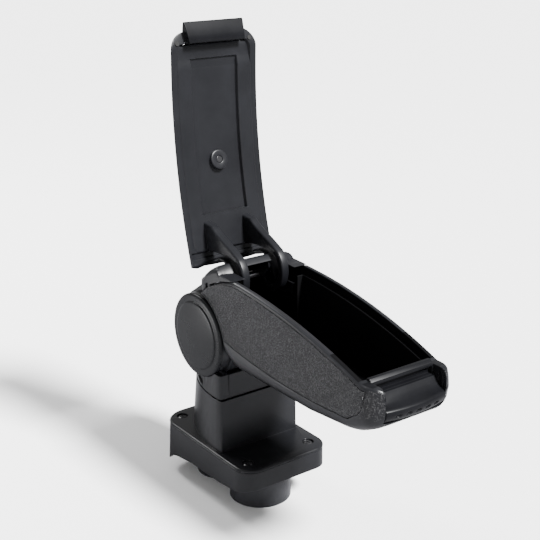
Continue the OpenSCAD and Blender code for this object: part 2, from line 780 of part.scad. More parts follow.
module lid_cover() {
    color(satin) lid_pose() difference() {
        lid_loft(0, 300);
        difference() {
            lid_loft(lid_wall, 218.5);
            y_rod(sweep_r + 2.6, lid_x, lid_z, -60, 60, 96);
            // Bosses over the inner plate, the middle one for its screw
            difference() {
                for (x = [boss_x - 62, boss_x, boss_x + 62])
                    translate([x, 0, lid_under(x)]) cylinder(d = 11, h = 16, $fn = 32);
                plate_loft([[plate_hw, -5], [plate_hw, plate_h + 0.15],
                    [0.01, plate_h + 0.15]], -50, 300);
            }
            // Solid corners that carry the latch pin and the bumpers
            both_sides() translate([209, notch_hw, 200]) cube([30, 30, 40]);
        }
        // The lid's rear edge swings round the rear cover
        hinge_drum(play);
        // Opening for the latch tab
        translate([latch_edge, -notch_hw, 200]) cube([40, 2 * notch_hw, 60]);
        translate([204, -notch_hw, 200]) cube([40, 2 * notch_hw, 222.6 - 200]);
        y_rod(latch_pin_d / 2 + 0.02, latch_x, latch_z, -notch_hw - 4, notch_hw + 4, 32);
        translate([boss_x, 0, lid_under(boss_x)])
            cylinder(d = 3.06, h = 8.4, $fn = 24);
        both_sides() translate([bumper_x, bumper_y, lid_under(bumper_x) - over])
            cylinder(d = bumper_d + 0.1, h = over + 1.2, $fn = 32);
    }
}

module lid_bumpers() {
    color(gloss) lid_pose() both_sides()
        translate([bumper_x, bumper_y, lid_under(bumper_x) - lid_gap + 0.1])
        cylinder(d = bumper_d, h = 1.5, $fn = 32);
}

plate_xs = [plate_rear, 25, 44.9, 65, 85, 105, 125, 145, 165, 185, 198.9, plate_front];

module plate_loft(half, x0, x1) {
    loft([for (x = plate_xs) if (x >= x0 && x <= x1) ring(x,
        [for (p = half) [p[0], lid_under(x) + p[1]]])]);
}

// One gooseneck arm, seen from the side with the lid closed
module arm_outline() {
    difference() {
        union() {
            polygon(concat(
                [[plate_rear, lid_under(plate_rear) + 2],
                 [plate_rear, lid_under(plate_rear) - 1]],
                [for (a = [-17.5 : -12.5 : -180]) neck_c + neck_r_in * [cos(a), sin(a)]],
                [[lid_x - 2.4, lid_z - 5.6], [lid_x - 4.2, lid_z + 4.3]],
                [for (a = [-180 : 13 : -50]) neck_c + neck_r_out * [cos(a), sin(a)]],
                [[20, 231.6], [37.4, lid_under(37.4) - 1], [37.4, lid_under(37.4) + 2]]));
            translate([lid_x, lid_z]) circle(r = lid_pin_d / 2 + 3);
        }
    }
}

module lid_inner_plate() {
    color(satin) lid_pose() difference() {
        union() {
            difference() {
                plate_loft([[plate_hw, 0], [plate_hw, 0.9], [40, 2.6], [35, 4.2],
                    [28, plate_h - 0.2], [0.01, plate_h]], -50, 300);
                plate_loft([[recess_hw, -2], [recess_hw, lid_recess], [0.01, lid_recess]],
                    recess_x[0], recess_x[1]);
            }
            translate([boss_x, 0, lid_under(boss_x)]) cylinder(d = 20, h = 5);
            both_sides() slab(arm_in, arm_in + arm_w) arm_outline();
        }
        translate([boss_x, 0, lid_under(boss_x) - 3]) {
            cylinder(d = 7, h = 5.4, $fn = 32);
            cylinder(d = 3.4, h = 20, $fn = 24);
        }
        y_rod(lid_pin_d / 2 + run, lid_x, lid_z, -60, 60);
    }
}

module lid_screw() {
    color(steel) lid_pose() translate([boss_x, 0, lid_under(boss_x)]) {
        translate([0, 0, 0.4]) cylinder(d = 6.6, h = 1.9, $fn = 32);
        translate([0, 0, 1]) cylinder(d = 3, h = 7.2, $fn = 24);
    }
}

// Latch

module latch_outline() {
    polygon([[latch_x, 225.2], [latch_x + 4, 223.7], [latch_x + 9, 221.3],
        [latch_x + 14, 218.3], [latch_x + 17.5, 215.9], [latch_x + 18.8, 214.4],
        [latch_x + 18.4, 213], [latch_x + 16.5, 212.3], [latch_x + 5, 211.5],
        [latch_x - 1.6, 211.5], [latch_x - 2.8, 212.4], [latch_x - 2.8, 214.6],
        [latch_x - 1.4, 215.5], [latch_x - 0.6, 216.6], [latch_x - 1.2, 218.6],
        [latch_x - 2.2, 220], [latch_x - 2.2, 221.8], [latch_x - 1.2, 223]]);
}

module latch_tab() {
    w = latch_w / 2;
    color(satin) lid_pose() difference() {
        intersection() {
            slab(-w, w) latch_outline();
            translate([0, 0, 200]) linear_extrude(40) polygon([[latch_x - 5, tab_in],
                [latch_x + 18.8, w], [latch_x + 18.8, -w], [latch_x - 5, -tab_in]]);
            translate([200, 0, 225.2 - 270]) rotate([0, 90, 0])
                cylinder(r = 270, h = 60, $fn = 360);
        }
        // Hollow behind the grip
        slab(-tab_in + 3, tab_in - 3) polygon([[latch_x + 4, 214.4], [latch_x + 4, 221],
            [latch_x + 8, 219.2], [latch_x + 13, 216.4], [latch_x + 14.6, 214.6]]);
        y_rod(latch_pin_d / 2 + run, latch_x, latch_z, -w - over, w + over, 32);
    }
}

module latch_pin() {
    color(steel) lid_pose()
        y_rod(latch_pin_d / 2, latch_x, latch_z, -notch_hw - 3.4, notch_hw + 3.4, 32);
}

front_plug();
rear_plug();
base_skirt();
base_top();
base_screws();
neck_fork();
neck_front_cover();
neck_rear_cover();
pivot_cap_left();
pivot_cap_right();
axle_bolt();
axle_nut();
hub_barrel();
box_shell();
side_panel_left();
side_panel_right();
tray_liner();
rear_cover();
front_lip();
lid_pin();
lid_cover();
lid_inner_plate();
lid_screw();
lid_bumpers();
latch_tab();
latch_pin();
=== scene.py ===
# %% [markdown]
# A centre armrest for a car console. A hollow column with two round plugs
# stands in the cup holders, a storage box swings up between two cheeks, and a
# lid on two gooseneck arms closes the box. Nearly all of it is black moulded
# plastic, so this lesson is about edges, grain and soft light.
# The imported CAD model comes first. It is the frame that every piece fits.
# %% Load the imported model
import json
import math
import bmesh
import bpy
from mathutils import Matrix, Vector


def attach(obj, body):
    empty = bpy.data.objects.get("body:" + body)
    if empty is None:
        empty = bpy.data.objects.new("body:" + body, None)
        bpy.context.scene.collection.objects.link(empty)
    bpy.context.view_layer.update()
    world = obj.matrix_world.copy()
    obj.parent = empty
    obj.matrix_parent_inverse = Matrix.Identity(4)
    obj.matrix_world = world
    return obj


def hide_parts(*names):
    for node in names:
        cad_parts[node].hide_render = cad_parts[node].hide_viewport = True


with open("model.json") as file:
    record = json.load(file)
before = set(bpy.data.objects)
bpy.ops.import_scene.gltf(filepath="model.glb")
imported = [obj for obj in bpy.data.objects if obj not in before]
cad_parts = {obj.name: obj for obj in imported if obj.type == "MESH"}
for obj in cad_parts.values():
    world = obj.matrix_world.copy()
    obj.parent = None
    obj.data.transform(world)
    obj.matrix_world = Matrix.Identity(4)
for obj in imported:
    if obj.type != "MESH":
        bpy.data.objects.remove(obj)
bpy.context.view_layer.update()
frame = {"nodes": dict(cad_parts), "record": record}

# %% [markdown]
# A fitted camera gives every picture the same view as the photograph. It
# could be placed by eye, but then no edge would lie where the photograph has
# it. So its place and lens were worked out from edges whose sizes are known,
# such as the round plug. A long lens keeps the upright lines nearly parallel.
# %% Camera
LENS = 72.53  # mm, on a sensor 36 mm wide
CAMERA_PLACE = (0.8387, -0.6066, 0.6110)
CAMERA_TARGET = (0.0168, 0.00067, 0.2584)


def new_object(name, data):
    obj = bpy.data.objects.new(name, data)
    bpy.context.scene.collection.objects.link(obj)
    return obj


def point_along(obj, way):
    obj.rotation_euler = way.to_track_quat("-Z", "Y").to_euler()


camera_data = bpy.data.cameras.new("camera")
camera_data.lens = LENS
camera_data.sensor_width = 36
camera = new_object("camera", camera_data)
camera.location = CAMERA_PLACE
aim = Vector(CAMERA_TARGET) - camera.location
point_along(camera, aim)
bpy.context.scene.camera = camera
print("camera is", round(aim.length, 3), "m from its target")

# %% [markdown]
# Black plastic shows only what it mirrors, so the room matters more than the
# paint. A pale floor and a pale sky give the broad grey of the faces. In a
# studio, black cards would stand round the part to keep it dark. Here the
# floor itself is darker for mirrored rays, which does the same and leaves the
# background of the picture pale.
# %% Floor and sky
FLOOR_HALF = 7  # m
FLOOR_SEEN = (0.92, 0.92, 0.92, 1)
FLOOR_MIRRORED = (0.22, 0.22, 0.23, 1)
SKY_STRENGTH = 0.55

floor_mesh = bpy.data.meshes.new("floor")
corners = [(x * FLOOR_HALF, y * FLOOR_HALF, 0) for x, y in ((-1, -1), (1, -1), (1, 1), (-1, 1))]
floor_mesh.from_pydata(corners, [], [(0, 1, 2, 3)])
floor = new_object("floor", floor_mesh)

floor_look = bpy.data.materials.new("pale_floor")
floor_look.use_nodes = True
floor_tree = floor_look.node_tree
floor_shader = floor_tree.nodes["Principled BSDF"]
floor_ray = floor_tree.nodes.new("ShaderNodeLightPath")
floor_tone = floor_tree.nodes.new("ShaderNodeMix")
floor_tone.data_type = "RGBA"
floor_tone.inputs["A"].default_value = FLOOR_SEEN
floor_tone.inputs["B"].default_value = FLOOR_MIRRORED
floor_tree.links.new(floor_ray.outputs["Is Glossy Ray"], floor_tone.inputs["Factor"])
floor_tree.links.new(floor_tone.outputs["Result"], floor_shader.inputs["Base Color"])
floor_shader.inputs["Roughness"].default_value = 0.9
floor_shader.inputs["Specular IOR Level"].default_value = 0.1
floor_mesh.materials.append(floor_look)

world = bpy.data.worlds.new("sky")
world.use_nodes = True
world.node_tree.nodes["Background"].inputs["Color"].default_value = (1, 1, 1, 1)
world.node_tree.nodes["Background"].inputs["Strength"].default_value = SKY_STRENGTH
bpy.context.scene.world = world
print("floor", 2 * FLOOR_HALF, "m wide, sky strength", SKY_STRENGTH)

# %% [markdown]
# A wide sun casts the long soft shadow. Four soft boxes draw the thin bright
# lines along the edges. Small bare lamps would be simpler, but they would
# glint in every screw. Each box stands where one face of the part mirrors it,
# and none shows in the picture itself.
# %% Lights
KEY_WAY = (-0.62, -0.18, -0.72)
# Name, place, target, size in metres, power in watts
SOFT_BOXES = [
    ("left_box", (0.1, -1.9, 0.8), (0, 0, 0.25), (0.5, 1.3), 3),
    ("left_strip", (0.50, -1.25, 0.02), (0, 0, 0.2), (0.12, 0.6), 5),
    ("grain_box", (-0.46, -0.52, 0.03), (0.14, -0.05, 0.20), (0.16, 0.1), 0.8),
    ("rear_box", (-1.5, -0.35, 1.5), (0.05, 0, 0.25), (0.4, 0.6), 24),
]

key_data = bpy.data.lights.new("key", "SUN")
key_data.energy = 18
key_data.angle = 0.2
key_data.specular_factor = 0.25
point_along(new_object("key", key_data), Vector(KEY_WAY))
for name, place, target, size, watts in SOFT_BOXES:
    box_data = bpy.data.lights.new(name, "AREA")
    box_data.shape = "RECTANGLE"
    box_data.size, box_data.size_y = size
    box_data.energy = watts
    box = new_object(name, box_data)
    box.location = place
    box.visible_camera = False
    point_along(box, Vector(target) - Vector(place))

# %% [markdown]
# Moulded plastic is never perfectly smooth. The mould's spark-eroded face
# leaves a fine even texture, and a leather-like grain is a field of small
# pebbles. Some pebble tops are painted lighter as glints, a painted highlight.
# A picture of grain would blur close up and stretch round corners. Noise and
# Voronoi cells in the object's own space do neither, and as a shader group
# every finish can use them.
# %% Mould texture
WARP = 0.0006  # m, how far the pebbles are pushed out of their even cells


def new_group(name, inputs, outputs):
    group = bpy.data.node_groups.new(name, "ShaderNodeTree")
    for label, kind, value in inputs:
        socket = group.interface.new_socket(label, in_out="INPUT", socket_type=kind)
        if value is not None:
            socket.default_value = value
    for label, kind in outputs:
        group.interface.new_socket(label, in_out="OUTPUT", socket_type=kind)
    start = group.nodes.new("NodeGroupInput")
    end = group.nodes.new("NodeGroupOutput")
    return group, start, end


def add(tree, kind, **settings):
    node = tree.nodes.new(kind)
    for key, value in settings.items():
        setattr(node, key, value)
    return node


def mould_texture():
    group, start, end = new_group("Mould Texture",
        [("Vector", "NodeSocketVector", None), ("Scale", "NodeSocketFloat", 1800.0),
         ("Pebble", "NodeSocketFloat", 0.0)],
        [("Height", "NodeSocketFloat"), ("Speck", "NodeSocketFloat")])
    link = group.links.new
    fine = add(group, "ShaderNodeTexNoise")
    fine.inputs["Detail"].default_value = 3
    link(start.outputs["Vector"], fine.inputs["Vector"])
    link(start.outputs["Scale"], fine.inputs["Scale"])
    # A coarser noise pushes the cells about, so that no two pebbles match
    half = add(group, "ShaderNodeMath", operation="MULTIPLY")
    half.inputs[1].default_value = 0.5
    warp = add(group, "ShaderNodeTexNoise")
    push = add(group, "ShaderNodeVectorMath", operation="SCALE")
    push.inputs["Scale"].default_value = WARP
    moved = add(group, "ShaderNodeVectorMath", operation="ADD")
    link(start.outputs["Scale"], half.inputs[0])
    link(start.outputs["Vector"], warp.inputs["Vector"])
    link(half.outputs[0], warp.inputs["Scale"])
    link(warp.outputs["Color"], push.inputs[0])
    link(start.outputs["Vector"], moved.inputs[0])
    link(push.outputs[0], moved.inputs[1])
    pebbles = add(group, "ShaderNodeTexVoronoi", feature="SMOOTH_F1")
    pebbles.inputs["Smoothness"].default_value = 0.35
    mix = add(group, "ShaderNodeMix", data_type="FLOAT")
    link(moved.outputs[0], pebbles.inputs["Vector"])
    link(start.outputs["Scale"], pebbles.inputs["Scale"])
    link(start.outputs["Pebble"], mix.inputs["Factor"])
    link(fine.outputs["Fac"], mix.inputs["A"])
    link(pebbles.outputs["Distance"], mix.inputs["B"])
    link(mix.outputs["Result"], end.inputs["Height"])
    # About one cell in four gets a painted glint, a lighter top in place of a highlight
    glint = add(group, "ShaderNodeTexVoronoi", feature="F1")
    red = add(group, "ShaderNodeSeparateColor")
    painted_glint = add(group, "ShaderNodeMapRange")
    painted_glint.inputs["From Min"].default_value = 0.72
    painted_glint.inputs["From Max"].default_value = 0.95
    link(moved.outputs[0], glint.inputs["Vector"])
    link(start.outputs["Scale"], glint.inputs["Scale"])
    link(glint.outputs["Color"], red.inputs["Color"])
    link(red.outputs["Red"], painted_glint.inputs["Value"])
    link(painted_glint.outputs["Result"], end.inputs["Speck"])
    return group


texture_group = mould_texture()
print("shader group", texture_group.name)

# %% [markdown]
# Hands and dust leave faint patches on the plastic. They could be painted, but
# a broad noise is enough at this size. It drives the roughness and the colour
# together, because a dusty patch is both duller and lighter.
# %% Handling marks
def handling_marks():
    group, start, end = new_group("Handling Marks",
        [("Vector", "NodeSocketVector", None), ("Roughness", "NodeSocketFloat", 0.4),
         ("Amount", "NodeSocketFloat", 0.1), ("Colour", "NodeSocketColor", None)],
        [("Roughness", "NodeSocketFloat"), ("Colour", "NodeSocketColor")])
    link = group.links.new
    broad = add(group, "ShaderNodeTexNoise")
    broad.inputs["Scale"].default_value = 22
    broad.inputs["Detail"].default_value = 5
    broad.inputs["Roughness"].default_value = 0.62
    around = add(group, "ShaderNodeMath", operation="SUBTRACT")
    around.inputs[1].default_value = 0.5
    times = add(group, "ShaderNodeMath", operation="MULTIPLY")
    plus = add(group, "ShaderNodeMath", operation="ADD")
    link(start.outputs["Vector"], broad.inputs["Vector"])
    link(broad.outputs["Fac"], around.inputs[0])
    link(around.outputs[0], times.inputs[0])
    link(start.outputs["Amount"], times.inputs[1])
    link(times.outputs[0], plus.inputs[0])
    link(start.outputs["Roughness"], plus.inputs[1])
    link(plus.outputs[0], end.inputs["Roughness"])
    dust = add(group, "ShaderNodeMapRange")
    dust.inputs["From Min"].default_value = 0.35
    dust.inputs["From Max"].default_value = 0.75
    dust.inputs["To Min"].default_value = 0.85
    dust.inputs["To Max"].default_value = 1.3
    shade = add(group, "ShaderNodeVectorMath", operation="SCALE")
    link(broad.outputs["Fac"], dust.inputs["Value"])
    link(start.outputs["Colour"], shade.inputs[0])
    link(dust.outputs["Result"], shade.inputs["Scale"])
    link(shade.outputs[0], end.inputs["Colour"])
    return group


marks_group = handling_marks()
print("shader group", marks_group.name)

# %% [markdown]
# Each finish is one Principled shader. The texture group gives its relief and
# its painted glints, lighter specks in place of highlights, and the marks group
# its roughness and colour. What is the same all over, such as the metal and the
# strength of the mirror, is set on the shader itself.
# %% One finish
def finish_look(name, colour, rough, amount=0.1, scale=1800.0, pebble=0.0,
                bump=0.06, depth=0.0002, metallic=0.0, shine=0.2, glint_paint=0.0):
    look = bpy.data.materials.new(name)
    look.use_nodes = True
    tree = look.node_tree
    link = tree.links.new
    shader = tree.nodes["Principled BSDF"]
    place = add(tree, "ShaderNodeTexCoord")
    texture = add(tree, "ShaderNodeGroup", node_tree=texture_group)
    texture.inputs["Scale"].default_value = scale
    texture.inputs["Pebble"].default_value = pebble
    relief = add(tree, "ShaderNodeBump")
    relief.inputs["Strength"].default_value = bump
    relief.inputs["Distance"].default_value = depth
    link(place.outputs["Object"], texture.inputs["Vector"])
    link(texture.outputs["Height"], relief.inputs["Height"])
    link(relief.outputs["Normal"], shader.inputs["Normal"])
    marks = add(tree, "ShaderNodeGroup", node_tree=marks_group)
    marks.inputs["Roughness"].default_value = rough
    marks.inputs["Amount"].default_value = amount
    marks.inputs["Colour"].default_value = (*colour, 1)
    link(place.outputs["Object"], marks.inputs["Vector"])
    link(marks.outputs["Roughness"], shader.inputs["Roughness"])
    # Painted glints: the lighter specks are added to the base colour
    painted_glint = add(tree, "ShaderNodeVectorMath", operation="SCALE")
    painted_glint.inputs[0].default_value = (glint_paint, glint_paint, glint_paint)
    lighter = add(tree, "ShaderNodeVectorMath", operation="ADD")
    link(texture.outputs["Speck"], painted_glint.inputs["Scale"])
    link(marks.outputs["Colour"], lighter.inputs[0])
    link(painted_glint.outputs[0], lighter.inputs[1])
    link(lighter.outputs[0], shader.inputs["Base Color"])
    shader.inputs["Metallic"].default_value = metallic
    shader.inputs["Specular IOR Level"].default_value = shine
    return look


satin = finish_look("satin_black", (0.0072, 0.0074, 0.0086), 0.32)
print(satin.name, "has", len(satin.node_tree.nodes), "nodes")

# %% [markdown]
# Satin black covers most of the part, and the lid, caps and lip are each a
# shade off it, as mouldings from different tools are. The liner is darker still:
# its near-black is painted shade for the hollow inside the box, its dull finish
# the liner's own. The side panels carry a deep leather-like grain, the horns at
# the front a lighter one, and the plugs come out of a polished mould, their
# lighter colour a painted reflection. One look with many settings keeps them a
# family.
# %% The other finishes
LEATHER = {"scale": 1150.0, "pebble": 0.8}
lid_satin = finish_look("lid_satin", (0.0052, 0.0054, 0.0066), 0.36)
cap_satin = finish_look("cap_black", (0.005, 0.0052, 0.006), 0.27, shine=0.13)
lip_satin = finish_look("lip_black", (0.0036, 0.0037, 0.0045), 0.32, shine=0.1)
# The liner's near-black colour is painted shade for the hollow inside the box; its roughness and
# low shine are the liner's own
liner_painted_shade = finish_look("liner_black", (0.002, 0.002, 0.0023), 0.7, shine=0.05)
# The grained finishes carry painted glints on some pebble tops
grained = finish_look("grained_black", (0.006, 0.006, 0.007), 0.24, bump=0.9,
    depth=0.0008, shine=0.3, glint_paint=0.024, **LEATHER)
horn_grain = finish_look("horn_grain", (0.0065, 0.0065, 0.0075), 0.32, bump=0.5,
    depth=0.0006, shine=0.18, glint_paint=0.02, **LEATHER)
# The plugs' base colour is raised as painted reflection, in place of what the floor, darker for
# mirrored rays, no longer shows in them
gloss = finish_look("gloss_black", (0.022, 0.0224, 0.025), 0.16, amount=0.06,
    bump=0.02, shine=0.3)
screw_black = finish_look("screw_black", (0.01, 0.01, 0.011), 0.3, bump=0.03, shine=0.35)
zinc = finish_look("zinc_steel", (0.4, 0.4, 0.42), 0.3, metallic=1.0, bump=0.05)
rubber = finish_look("rubber_black", (0.006, 0.006, 0.006), 0.6, bump=0.1)
print(len(bpy.data.materials), "materials")

# %% [markdown]
# A CAD solid arrives as loose flat triangles. For the eye, its curved faces
# should shade smoothly and its edges should catch a thin line of light, as a
# mould's edges never come out knife sharp. Smooth shading alone would smear
# the flat faces. So each solid is copied, its corners are merged, flat areas
# become single faces, and a small bevel runs along the sharp edges. The copy
# stands in for the CAD solid.
# %% Smooth copies of the solids
FLAT = math.radians(0.6)  # faces within this angle become one
CREASE = 38  # degrees, past which an edge is sharp

bodies = frame["record"]["behaviour"]["bodies"]
body_of = {node: body for body, nodes in bodies.items() for node in nodes}
slot_of = {row["node"]: row["material_slot"] for row in frame["record"]["subparts"]}


def place_piece(node, mesh, look):
    obj = new_object(node + "_look", mesh)
    if not mesh.materials:
        mesh.materials.append(look)
    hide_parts(node)
    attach(obj, body_of[node])


def settled(obj, name):
    graph = bpy.context.evaluated_depsgraph_get()
    mesh = bpy.data.meshes.new_from_object(obj.evaluated_get(graph))
    mesh.name = name
    bpy.data.objects.remove(obj)
    return mesh


def shaded(mesh, angle):
    mesh.shade_smooth()
    mesh.set_sharp_from_angle(angle=math.radians(angle))
    return mesh


def bevelled(obj, width, angle, segments=2, **settings):
    bevel = obj.modifiers.new("edge", "BEVEL")
    bevel.width = width
    bevel.segments = segments
    bevel.limit_method = "ANGLE"
    bevel.angle_limit = math.radians(angle)
    for key, value in settings.items():
        setattr(bevel, key, value)
    return settled(obj, obj.name)


def softened(node, edge):
    bm = bmesh.new()
    bm.from_mesh(frame["nodes"][node].data)
    bmesh.ops.remove_doubles(bm, verts=bm.verts, dist=2e-5)
    bmesh.ops.dissolve_limit(bm, angle_limit=FLAT, verts=bm.verts, edges=bm.edges)
    mesh = bpy.data.meshes.new(node + "_copy")
    bm.to_mesh(mesh)
    bm.free()
    mesh.materials.clear()
    return bevelled(new_object(node + "_soft", shaded(mesh, CREASE)), edge, CREASE,
        use_clamp_overlap=False, harden_normals=True)


# %% [markdown]
# Most solids need only that. Seven pieces are left out here, because curves,
# dimples or cross recesses make them again further down. The side panels get
# a wider bevel, since the seam round them is what tells panel from shell.
# %% Dress the solids
EDGE, PANEL_EDGE = 0.0004, 0.0009  # m
look_of_slot = {"satin_black": satin, "gloss_black": gloss, "grained_black": grained,
                "screw_black": screw_black, "zinc_steel": zinc, "rubber_black": rubber}
look_of_node = {"tray_liner": liner_painted_shade, "rear_cover": lid_satin,
                "latch_tab": lip_satin, "lid_screw": screw_black}
remade = {"lid_cover", "lid_inner_plate", "front_lip", "base_screws", "neck_front_cover",
          "pivot_cap_left", "pivot_cap_right"}
for node in frame["nodes"]:
    if node not in remade:
        edge = PANEL_EDGE if node.startswith("side_panel") else EDGE
        look = look_of_node.get(node, look_of_slot[slot_of[node]])
        place_piece(node, softened(node, edge), look)
print(len(frame["nodes"]) - len(remade), "solids dressed")

# %% [markdown]
# The box's shell is one moulding with four finishes. Its inside takes the
# liner's near-black, painted shade for the hollow of the box, its front wall
# matches the lip, and the outer faces of its two horns are grained. Separate
# pieces would leave seams that the real one lacks, so the faces of the one mesh
# are sorted by place instead.
# %% Finishes of the shell
OUTSIDE, INSIDE, HORN, FRONT_WALL = 0, 1, 2, 3


def shell_part(x, y, z, up):
    # Millimetres; y is the distance from the middle, up the normal's z
    if x > 203 and y < 36.2 and z > 200:
        return FRONT_WALL
    # The rim falls towards the front, and the underside looks down
    below_rim = 170 < z < 252 - max(0, x) ** 2 / 1350
    # Faces inside the box below the rim take the liner's painted shade
    if x < 204 and y < 45 and below_rim and up > -0.3:
        return INSIDE
    outer_face = y > 47 or (y > 36.5 and x > 216)
    if x > 207.5 and 190 < z < 216.5 and outer_face:
        return HORN
    return OUTSIDE


shell = bpy.data.objects["box_shell_look"].data
for look in (liner_painted_shade, horn_grain, lip_satin):
    shell.materials.append(look)
for face in shell.polygons:
    x, y, z = face.center * 1000
    face.material_index = shell_part(x, abs(y), z, face.normal.z)
print("shell finishes", [look.name for look in shell.materials])

# %% [markdown]
# The lid is all curves, and a CAD loft of a few sections shows its facets in
# raking light. So the lid is built again from the same formulas, with many
# more sections. A closed lid is far easier to draw than an open one, so it is
# drawn closed, in millimetres, and turned open about its hinge line at the
# end. A row of sections becomes a closed skin.
# %% Drawn closed, standing open
HINGE = Vector((-24.6, 0, 240))
OPEN = math.radians(-107.5)


def opened(p):
    x, z = p[0] - HINGE.x, p[2] - HINGE.z
    c, s = math.cos(OPEN), math.sin(OPEN)
    return (HINGE.x + x * c + z * s, p[1], HINGE.z - x * s + z * c)


def mesh_of(name, points, faces, angle=32):
    mesh = bpy.data.meshes.new(name)
    mesh.from_pydata([(x / 1000, y / 1000, z / 1000) for x, y, z in points], [], faces)
    bm = bmesh.new()
    bm.from_mesh(mesh)
    bmesh.ops.remove_doubles(bm, verts=bm.verts, dist=2e-6)
    bmesh.ops.recalc_face_normals(bm, faces=bm.faces)
    bm.to_mesh(mesh)
    bm.free()
    return shaded(mesh, angle)


def skin(rings, pose=None):
    n, last = len(rings[0]), (len(rings) - 1) * len(rings[0])
    points = [pose(p) if pose else p for ring in rings for p in ring]
    faces = [(i + j, i + (j + 1) % n, i + n + (j + 1) % n, i + n + j)
             for i in range(0, last, n) for j in range(n)]
    faces += [tuple(range(n)), tuple(range(last, last + n))]
    return points, faces


def circle(radius, steps):
    return [(radius * math.cos(k * math.tau / steps), radius * math.sin(k * math.tau / steps))
            for k in range(steps)]


print("the lid opens by", round(-math.degrees(OPEN), 1), "degrees")

# %% [markdown]
# A few curves rule the lid: the long arc of the rim, the underside that lies
# on it and levels out over the front wall, the rise of the dome, and the half
# widths of cover and plate. Points read off the CAD mesh would fit too, but
# formulas give a height at any place, so the sections can be as close as the
# shading needs.
# %% Curves of the lid
FRONT_LEVEL = 218.1  # mm, the height of the rim's level stretch at the front


def drop(r, d):
    # How far an arc of radius r has fallen at the distance d
    return r - math.sqrt(max(0.0, r * r - d * d))


def smooth(t):
    t = max(0.0, min(1.0, t))
    return t * t * (3 - 2 * t)


def rim_z(x):
    return 256.4 - drop(640, x + 9.6)


def under(x):
    rim = rim_z(x)
    rounded = math.sqrt((rim - FRONT_LEVEL) ** 2 + 0.6)
    return 0.5 * (rim + FRONT_LEVEL + rounded) + 0.5


def lid_half_width(x):
    return 51 - drop(20, max(0, min(20, x - 205.4)))


def lid_rise(x):
    full = rim_z(x) + 11.1 - under(x) - 0.8
    if x > 200:
        return full * math.sqrt(max(0, 1 - ((x - 200) / 26.2) ** 2))
    if x < 4:
        return full * math.sqrt(max(0, 1 - ((4 - x) / 13.5) ** 2))
    return full


def plate_half_width(x):
    rear = 44 - drop(9, max(0, 15.5 - x))
    front = 44 - drop(15, max(0, min(15, x - 203)))
    return min(rear, front)


print("lid under", [round(under(x), 1) for x in (0, 100, 200)], "mm at 0, 100 and 200")

# %% [markdown]
# The cover is a pillow: a domed outside, a rolled edge and a hollow inside
# that the plate hides. Sculpting would give the dome, but not the fit on the
# rim. So each section is drawn across the lid and the sections are skinned.
# The front ends in two rounded corners beside the latch, each a small skin of
# its own, and a drum about the hinge line hollows the rear edge.
# %% Lid cover
DOME = 3.1  # power of the dome's curve, flat on top and steep at the edge
CORNER_START = 34.4  # mm from the middle, beside the latch's gap


def cover_ring(x):
    w, z, rise = lid_half_width(x), under(x), lid_rise(x)
    # A groove runs behind the plate, and a hollow lies over it
    groove = 2.0 * smooth((x - 1.8) / 1.2) * smooth((8.6 - x) / 0.6)
    inner = plate_half_width(x) - 0.7 if 8 < x < 218 else 40
    deep = z + 0.45 + groove + 4.6 * smooth((x - 9) / 1.2) * smooth((214.2 - x) / 1.4)
    half = [(0, deep), (inner - 1, deep), (inner, z + 0.45 + groove),
            (w - 4, z + 0.45 + groove), (w - 3, z + 0.4), (w - 1.3, z + 0.35),
            (w - 0.6, z + 0.45), (w - 0.15, z + 0.8)]
    half += [(w * u, z + 1.1 + (rise - 0.3) * (1 - u ** DOME))
             for u in (1, .99, .975, .95, .92, .88, .83, .76, .68, .58, .46, .33, .17, 0.001)]
    left = [(x, -y, zz) for y, zz in reversed(half) if y > 0.01]
    return [(x, y, zz) for y, zz in half] + left


def corner_ring(x, side):
    w, z, rise = lid_half_width(x), under(x), lid_rise(x)
    edge = [(CORNER_START, z + 0.45), (w - 1.3, z + 0.35), (w - 0.6, z + 0.45),
            (w - 0.15, z + 0.8)]
    edge += [(y, z + 1.1 + (rise - 0.3) * (1 - (y / w) ** DOME))
             for y in (CORNER_START + (w - CORNER_START) * t for t in (1, .96, .9, .8, .6, .3, 0))]
    return [(x, side * y, zz) for y, zz in edge]


def carved(mesh, cutter):
    obj, tool = new_object(mesh.name, mesh), new_object(cutter.name, cutter)
    cut = obj.modifiers.new("cut", "BOOLEAN")
    cut.operation = "DIFFERENCE"
    cut.solver = "EXACT"
    cut.object = tool
    mesh = settled(obj, mesh.name)
    bpy.data.objects.remove(tool)
    return mesh


def joined(name, meshes):
    bm = bmesh.new()
    for mesh in meshes:
        bm.from_mesh(mesh)
    out = bpy.data.meshes.new(name)
    bm.to_mesh(out)
    bm.free()
    out.materials.clear()
    return shaded(out, 34)


REAR_STEPS = [-11 + i for i in range(13)] + [1.8 + 0.4 * i for i in range(19)] + [9.6, 10.2]
LONG_STEPS = list(range(11, 204, 6))
FRONT_STEPS = [204 + 1.5 * i for i in range(7)] + [213.2]
CORNER_STEPS = [213.2, 214.5, 216, 217.5, 219, 220.5, 222, 223, 223.8, 224.4, 224.8]
DRUM = ((0.6, -60), (26.5, -60), (26.5, -42), (29.1, -32), (29.1, 32), (26.5, 42),
        (26.5, 60), (0.6, 60))  # radius and place along the hinge line

cover_steps = sorted(x for x in set(REAR_STEPS + LONG_STEPS + FRONT_STEPS) if x <= 213.2)
cover = mesh_of("lid_cover", *skin([cover_ring(x) for x in cover_steps], opened))
drum_rings = [[(HINGE.x + a, y, HINGE.z + b) for a, b in circle(r, 120)] for r, y in DRUM]
drum = mesh_of("drum", *skin(drum_rings, opened))
cover = bevelled(new_object("lid_cover", carved(cover, drum)), 0.00035, 40)
lid_corners = [
    mesh_of("lid_corner", *skin([corner_ring(x, side) for x in CORNER_STEPS], opened))
    for side in (-1, 1)]
cover = joined("lid_cover", [cover] + lid_corners)
place_piece("lid_cover", cover, lid_satin)
print("cover", len(cover.polygons), "faces")

